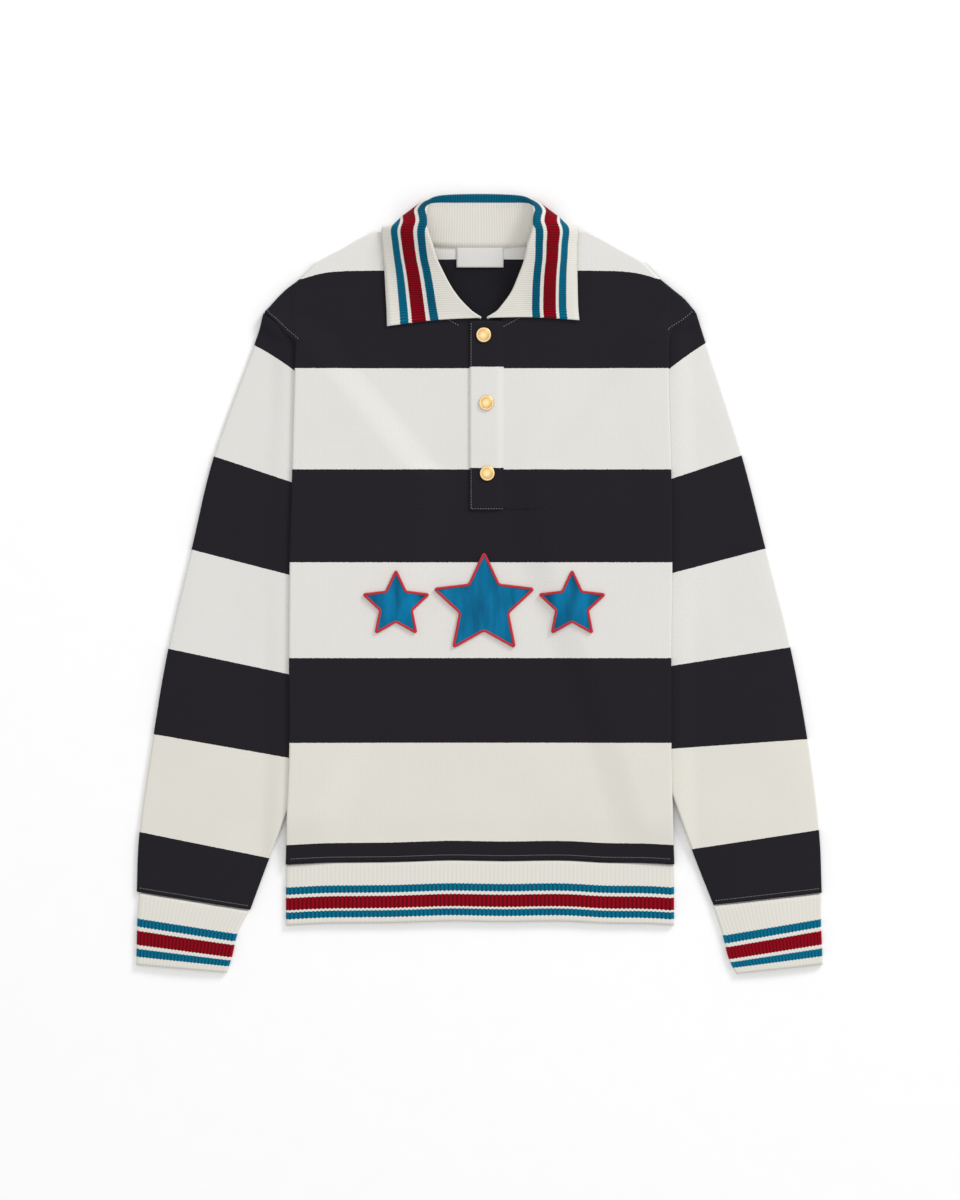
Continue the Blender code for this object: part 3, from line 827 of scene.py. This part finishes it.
def make_hem_band(material):
    radius = HEM_FOLD_RADIUS

    def section_place(share, layer, angle, at):
        y = HEM_Y - SEAM_GAP - at * HEM_BAND_DEPTH
        ends = np.array((-HEM_HALF_WIDTH, y)), np.array((HEM_HALF_WIDTH, y))
        (x, y), height = across_tube(*ends, share, layer, angle, radius)
        pillow = math.sin(math.pi * share) if layer > 0 and angle == 0 else 0
        return x, bowed(y, x), height + RIB / 2 + radius + BAND_RIDGE / 2 + max(pillow, 0) ** 0.5

    ribs = round(2 * HEM_HALF_WIDTH / BAND_RIB_PITCH)
    return make_rib_tube("hem_band", 20, ribs, HEM_BAND_DEPTH, section_place, material)


# Collar


def collar_section(side, at):
    """The collar from neck seam over the fold to outer edge, at 0 for the front end, 1 for the back."""
    seam, crest, over, edge = (through([row[k] for row in COLLAR], at) for k in range(4))
    for point, share in ((seam, 1), (crest, 1), (over, 0.5)):
        point[0] += share * neck_shift(side, point[1])
    tip = max(0, 1 - at * (len(COLLAR) - 1) / LEAF_TIP_REACH)
    shift = np.array((*LEAF_TIP_SHIFT[side], 0)) * tip
    over, edge = over + shift / 2, edge + shift
    stand, leaf = crest - seam, crest - over
    out_of_fold = stand / np.linalg.norm(stand) + leaf / np.linalg.norm(leaf)
    out_of_fold /= np.linalg.norm(out_of_fold)
    split = over - seam
    split -= out_of_fold * split.dot(out_of_fold)
    split /= np.linalg.norm(split)
    centre = crest - out_of_fold * COLLAR_FOLD_RADIUS
    section = []
    before, after = (centre + sign * split * COLLAR_FOLD_RADIUS for sign in (-1, 1))
    for step in range(8):
        section.append(seam + (before - seam) * step / 8)
    for step in range(8):
        angle = math.pi * step / 8
        way = out_of_fold * math.sin(angle) - split * math.cos(angle)
        section.append(centre + COLLAR_FOLD_RADIUS * way)
    leaf_line = 2 * after - over, after, over, edge, 2 * edge - over
    for step in range(17):
        section.append(through(leaf_line, 0.25 + step / 32))
    return np.array(section)


def even_collar():
    """Places along the collar's table that are evenly far apart on the cloth, for one half."""
    samples = np.linspace(0, 1, 160)
    middle = [through([0.5 * (np.array(row[1]) + np.array(row[2])) for row in COLLAR], at) for at in samples]
    steps = np.linalg.norm(np.diff(middle, axis=0), axis=1)
    lengths = np.concatenate(((0,), np.cumsum(steps)))
    rows = COLLAR_RIBS // 2 * POINTS_PER_RIB
    return np.interp(np.linspace(0, lengths[-1], rows + 1), lengths, samples)


def make_collar(material):
    places = even_collar()
    half = len(places) - 1
    sections = []
    for row in range(2 * half + 1):
        side = RIGHT if row <= half else LEFT
        place_at = places[row if row <= half else 2 * half - row]
        section = collar_section(side, place_at)
        section[:, 0] *= side
        steps = np.linalg.norm(np.diff(section, axis=0), axis=1)
        depths = np.concatenate(((0,), np.cumsum(steps)))
        eased = np.interp(place_at, LEAF_EASE_AT, LEAF_EASE[side])
        from_edge = COLLAR_DEPTH - (depths[-1] - depths) * (1 + eased)
        behind = smooth((place_at - BEHIND_FROM) / BEHIND_SPAN)
        sections.append((section, from_edge + (depths / depths[-1] * COLLAR_DEPTH - from_edge) * behind))

    def place(column, row):
        section, depths = sections[row]
        return section[column], (row / POINTS_PER_RIB * COLLAR_RIB_PITCH * MM, depths[column] * MM)

    def ridge(marks):
        crest = np.exp(-(((marks[..., 1] / MM - CREST_DEPTH) / CREST_REACH) ** 2))
        height = COLLAR_RIDGE + CREST_RIDGE * crest
        return height / 2 * np.cos(2 * np.pi * marks[..., 0] / (COLLAR_RIB_PITCH * MM))

    bm = bmesh.new()
    lay_grid(bm, len(sections[0][0]) - 1, 2 * half, place, ridge)
    return finish_piece("collar_cloth", bm, material, "collar", RIB)


# Placket, snaps, label and patches


def make_band(node, left_x, right_x, lift, material, sewn_edge):
    """A band laid on the front panel's own levels, moved out over it or in under it."""
    columns, rows = 22, 70

    def place(column, row):
        x = left_x + (right_x - left_x) * column / columns
        y = PLACKET_TOP_Y + (PLACKET_BOTTOM_Y - PLACKET_TOP_Y) * row / rows
        raised = lift
        if sewn_edge:
            raised *= 0.15 + 0.85 * smooth((right_x - x) / 7)
        return (x, y, front_surface(x, y) + raised), (x * MM, (y - PLACKET_STRIPE_RISE) * MM)

    bm = bmesh.new()
    lay_grid(bm, columns, rows, place)
    return finish_piece(node + "_cloth", bm, material, node, JERSEY)


def make_snap(number, x, y, material):
    """A pressed cap spun from its profile: a dome, a groove round it and a rolled rim."""
    foot = front_surface(x, y) + 1.5 * JERSEY + 2 * LAID_GAP
    dome = [(DOME_RADIUS * share, DOME_TOP - DOME_FALL * share**2) for share in np.linspace(0, 1, 9)]
    rim = [(RIM_OUT + RIM_HALF_WIDTH * math.sin(angle), RIM_LEVEL + RIM_HALF_HEIGHT * math.cos(angle))
           for angle in np.linspace(-0.5, 2.2, 8)]
    profile = [*dome, *rim, (SNAP_FOOT_RADIUS, 0), (0, 0)]
    bm = bmesh.new()
    verts = [bm.verts.new((x + out, y, foot + height)) for out, height in profile]
    edges = [bm.edges.new(pair) for pair in zip(verts, verts[1:])]
    bmesh.ops.spin(bm, geom=verts + edges, cent=(x, y, 0), axis=(0, 0, 1), angle=2 * math.pi, steps=48,
                   use_merge=True)
    bmesh.ops.scale(bm, vec=(MM, MM, MM), verts=bm.verts)
    return finish_piece(f"snap_{number}_cap", bm, material, f"snap_{number}")


def make_label(material):
    """A woven label, sewn on at its corners, its lower edge a little off the cloth."""
    columns, rows = 24, 12

    def place(column, row):
        x = LABEL_WIDTH * (column / columns - 0.5)
        y = LABEL_TOP_Y - LABEL_DEPTH * row / rows
        lift = 0.2 + 0.9 * (row / rows) ** 2
        height = back_level(RIGHT, abs(x), y) + JERSEY / 2 + LAID_GAP + LABEL_THICKNESS / 2 + lift
        return (x, y, height), (x * MM, y * MM)

    bm = bmesh.new()
    lay_grid(bm, columns, rows, place)
    return finish_piece("neck_label_cloth", bm, material, "neck_label", LABEL_THICKNESS)


def star_corners(x, y, radius):
    for number in range(10):
        reach = radius * (STAR_WAIST if number % 2 else 1)
        angle = math.radians(90 + 36 * number)
        yield np.array((x + reach * math.cos(angle), y + reach * math.sin(angle)))


def patch_level(x, y):
    return front_surface(x, y) + JERSEY / 2 + LAID_GAP + PATCH_THICKNESS / 2 + 0.3


def make_star(node, x, y, radius, material):
    """A five-pointed patch, padded a little in the middle."""
    bm = bmesh.new()
    made = bmesh.ops.create_circle(bm, cap_ends=True, segments=10, radius=radius)["verts"]
    for vert, corner in zip(made, star_corners(0, 0, radius)):
        vert.co = Vector((*corner, 0))
    bmesh.ops.poke(bm, faces=bm.faces[:])
    for _ in range(4):
        bmesh.ops.subdivide_edges(bm, edges=bm.edges[:], cuts=1, use_grid_fill=True)
    for vert in bm.verts:
        puff = PATCH_PUFF * (1 - min(vert.co.length / (0.7 * radius), 1) ** 2)
        level = patch_level(x + vert.co.x, y + vert.co.y)
        vert.co = Vector((x + vert.co.x, y + vert.co.y, level + puff)) * MM
    return finish_piece(node + "_patch", bm, material, node, PATCH_THICKNESS)


def make_star_cord(node, x, y, radius, material):
    """The raised cord round a patch, a tube laid along the star's outline with its corners eased."""
    corners = list(star_corners(x, y, radius))
    path = []
    for number, corner in enumerate(corners):
        before, after = corners[number - 1], corners[(number + 1) % 10]
        start, end = (corner + (other - corner) * CORD_CORNER for other in (before, after))
        far = after + (corner - after) * CORD_CORNER
        for t in (0, 0.25, 0.5, 0.75, 1):
            path.append(start * (1 - t) ** 2 + 2 * corner * t * (1 - t) + end * t**2)
        path += [end + (far - end) * t for t in (0.2, 0.4, 0.6, 0.8)]
    count, around = len(path), 10

    def place(column, row):
        here = path[row % count]
        way = path[(row + 1) % count] - path[(row - 1) % count]
        way /= np.linalg.norm(way)
        across = np.array((-way[1], way[0]))
        angle = 2 * math.pi * column / around
        px, py = here + across * CORD_RADIUS * math.cos(angle)
        height = patch_level(*here) + 0.5 + CORD_RADIUS * math.sin(angle)
        return (px, py, height), (column / around, row / count)

    bm = bmesh.new()
    lay_grid(bm, around, count, place)
    return finish_piece(node + "_cord", bm, material)


# Stitching


def surface_below(*pieces):
    """Finds the height of the uppermost of some pieces under a point, in millimetres."""
    bpy.context.view_layer.update()
    graph = bpy.context.evaluated_depsgraph_get()
    trees = [BVHTree.FromObject(piece, graph) for piece in pieces]

    def height(x, y):
        hits = [tree.ray_cast(Vector((x * MM, y * MM, 0.1)), Vector((0, 0, -1)))[0] for tree in trees]
        found = [hit.z / MM for hit in hits if hit]
        return max(found) if found else None

    return height


def make_stitches(name, lines, height, material):
    """Rows of machine stitches: dashes of thread along lines of points, each on the cloth under it."""
    bm = bmesh.new()
    for line in lines:
        line = np.array(line, float)
        reach = np.concatenate(((0,), np.cumsum(np.linalg.norm(np.diff(line, axis=0), axis=1))))
        for centre in np.arange(STITCH_PITCH / 2, reach[-1], STITCH_PITCH):
            places = centre - STITCH_HALF_REACH, centre + STITCH_HALF_REACH
            start, end = (np.array([np.interp(place, reach, line[:, k]) for k in (0, 1)]) for place in places)
            x, y = (start + end) / 2
            levels = [height(*point) for point in (start, end)]
            if None in levels:
                continue
            made = bmesh.ops.create_uvsphere(bm, u_segments=6, v_segments=4, radius=1)["verts"]
            tilt = math.atan2(levels[1] - levels[0], 2 * STITCH_HALF_REACH)
            turn = Matrix.Rotation(math.atan2(end[1] - start[1], end[0] - start[0]), 4, "Z")
            turn @= Matrix.Rotation(-tilt, 4, "Y")
            size = Matrix.Diagonal((STITCH_LENGTH / 2, STITCH_WIDTH / 2, STITCH_HEIGHT / 2, 1))
            place = Matrix.Translation((x, y, sum(levels) / 2 + 0.1))
            bmesh.ops.transform(bm, matrix=Matrix.Scale(MM, 4) @ place @ turn @ size, verts=made)
    return finish_piece(name, bm, material)


def hem_line(lift):
    return [(x, bowed(HEM_Y + lift, x)) for x in np.linspace(-190, 190, 60)]


def cuff_line(side, at):
    """A line across a sleeve just above its cuff seam."""
    out0, y0, out1, y1, bow = through(SLEEVES[side], at)
    line = []
    for share in np.linspace(0.015, 0.985, 30):
        y = y0 + share * (y1 - y0) + 4 * bow * share * (1 - share)
        line.append((side * (out0 + share * (out1 - out0)), y))
    return line


def armhole_line(side):
    line = []
    for y in np.linspace(*ARMHOLE_STITCHES[side], 12):
        line.append((side * (edge_out(side, y) - ARMHOLE_STITCHES_IN), y + ARMHOLE_STITCHES_UP))
    return line


# Studio


def make_studio():
    """Plain pale floor, soft overhead light, and a long lens straight over the shirt."""
    bm = bmesh.new()
    bmesh.ops.create_grid(bm, x_segments=2, y_segments=2, size=FLOOR_HALF_SIZE)
    mesh = bpy.data.meshes.new("floor")
    bm.to_mesh(mesh)
    bm.free()
    floor = bpy.data.objects.new("floor", mesh)
    mesh.materials.append(floor_finish())
    bpy.context.scene.collection.objects.link(floor)

    world = bpy.data.worlds.new("studio")
    world.use_nodes = True
    backdrop = world.node_tree.nodes["Background"]
    backdrop.inputs["Color"].default_value = (1, 1, 1, 1)
    backdrop.inputs["Strength"].default_value = WORLD_LIGHT
    bpy.context.scene.world = world
    for name, place, size, power in SOFT_BOXES:
        light = bpy.data.lights.new(name, "AREA")
        light.shape = "RECTANGLE"
        light.size, light.size_y = size
        light.energy = power
        box = bpy.data.objects.new(name, light)
        box.location = place
        box.rotation_euler = Vector(place).to_track_quat("Z", "Y").to_euler()
        bpy.context.scene.collection.objects.link(box)

    lens = bpy.data.cameras.new("camera")
    lens.sensor_width = SENSOR_WIDTH
    lens.lens = lens.sensor_width * CAMERA_HEIGHT / VIEW_HEIGHT
    lens.clip_end = 50
    camera = bpy.data.objects.new("camera", lens)
    camera.location = (0, VIEW_CENTRE_Y, CAMERA_HEIGHT + 0.01)
    bpy.context.scene.collection.objects.link(camera)
    bpy.context.scene.camera = camera
    bpy.context.scene.view_settings.view_transform = "Standard"


def main():
    jersey = jersey_finish("striped_jersey", BODY_STRIPES, STRIPES_TOP_Y, MM, MM)
    inside = jersey_finish("inside_jersey", INSIDE_STRIPES, STRIPES_TOP_Y, MM, MM)
    sleeve_cloth = jersey_finish("sleeve_jersey", SLEEVE_STRIPES, SLEEVE_COURSES, 1, COURSE_LENGTH)
    collar_rib = rib_finish("collar_rib", COLLAR_STRIPES, COLLAR_DEPTH, COLLAR_RIB_PITCH)
    hem_rib = rib_finish("hem_rib", HEM_STRIPES, HEM_BAND_DEPTH, BAND_RIB_PITCH)
    cuff_rib = rib_finish("cuff_rib", CUFF_STRIPES, CUFF_DEPTH, BAND_RIB_PITCH)
    thread = thread_finish("light_thread", "thread", 1.1)
    cord = thread_finish("red_cord", "cord", 1.5)

    slot = {RIGHT: -PLACKET_LEFT_X - SLOT_MARGIN, LEFT: PLACKET_RIGHT_X - SLOT_MARGIN}
    no_slot = {RIGHT: 0, LEFT: 0}
    front = make_panel("front", FRONT_NECK, slot, front_level, -1, front_ripple, jersey)
    back = make_panel("back", BACK_NECK, no_slot, back_level, 1, None, inside)
    sleeves = {side: make_sleeve(side, sleeve_cloth) for side in SIDES}
    cuffs = {side: make_cuff(side, cuff_rib) for side in SIDES}
    hem = make_hem_band(hem_rib)
    collar = make_collar(collar_rib)
    over = JERSEY + LAID_GAP
    top_band = make_band("placket_top", PLACKET_LEFT_X, PLACKET_RIGHT_X, over, jersey, True)
    under_left, under_right = PLACKET_LEFT_X + UNDER_BAND_SHIFT, PLACKET_RIGHT_X + UNDER_BAND_SHIFT
    under_band = make_band("placket_under", under_left, under_right, -over, jersey, False)
    gold = gold_finish()
    for number, (x, y) in enumerate(SNAP_X_Y, 1):
        make_snap(number, x, y, gold)
    label = make_label(label_finish())
    satin = satin_finish()
    patches = []
    for name, x, y, radius in STARS:
        patch = make_star(name, x, y, radius, satin)
        edge_cord = make_star_cord(name, x, y, radius, cord)
        patches.append((patch, edge_cord, radius))

    body_top = surface_below(front, top_band)
    sewn_x, sewn_y = PLACKET_LEFT_X + PLACKET_STITCHES_IN, PLACKET_BOTTOM_Y + PLACKET_STITCHES_UP
    placket_lines = [
        [(sewn_x, PLACKET_TOP_Y - 2), (sewn_x, sewn_y)],
        [(sewn_x, sewn_y), (PLACKET_RIGHT_X, sewn_y)],
    ]
    placket_thread = make_stitches("placket_stitches", placket_lines, body_top, thread)
    front_lines = [hem_line(HEM_STITCHES_LIFT), *NECK_STITCHES, *(armhole_line(side) for side in SIDES)]
    front_thread = make_stitches("front_stitches", front_lines, surface_below(front), thread)
    for side in SIDES:
        name = f"sleeve_{SIDE_NAMES[side]}_stitches"
        line = cuff_line(side, CUFF_STITCHES_AT)
        make_stitches(name, [line], surface_below(sleeves[side]), thread)
    corners = []
    for side in SIDES:
        x = side * LABEL_STITCHES_OUT
        corners.append([(x - 1.8, LABEL_STITCHES_Y), (x + 1.8, LABEL_STITCHES_Y)])
    label_thread = make_stitches("label_stitches", corners, surface_below(label), thread)

    # Flat size of each star patch in metres, and its area, as it is no rectangle: worked out here and not
    # kept
    for patch, edge_cord, radius in patches:
        width = 2 * radius * MM * math.sin(math.radians(72))
        length = radius * MM * (1 + math.cos(math.radians(36)))
        corner = math.sin(math.radians(36)) * STAR_WAIST
        5 * corner * (radius * MM) ** 2
    make_studio()


main()
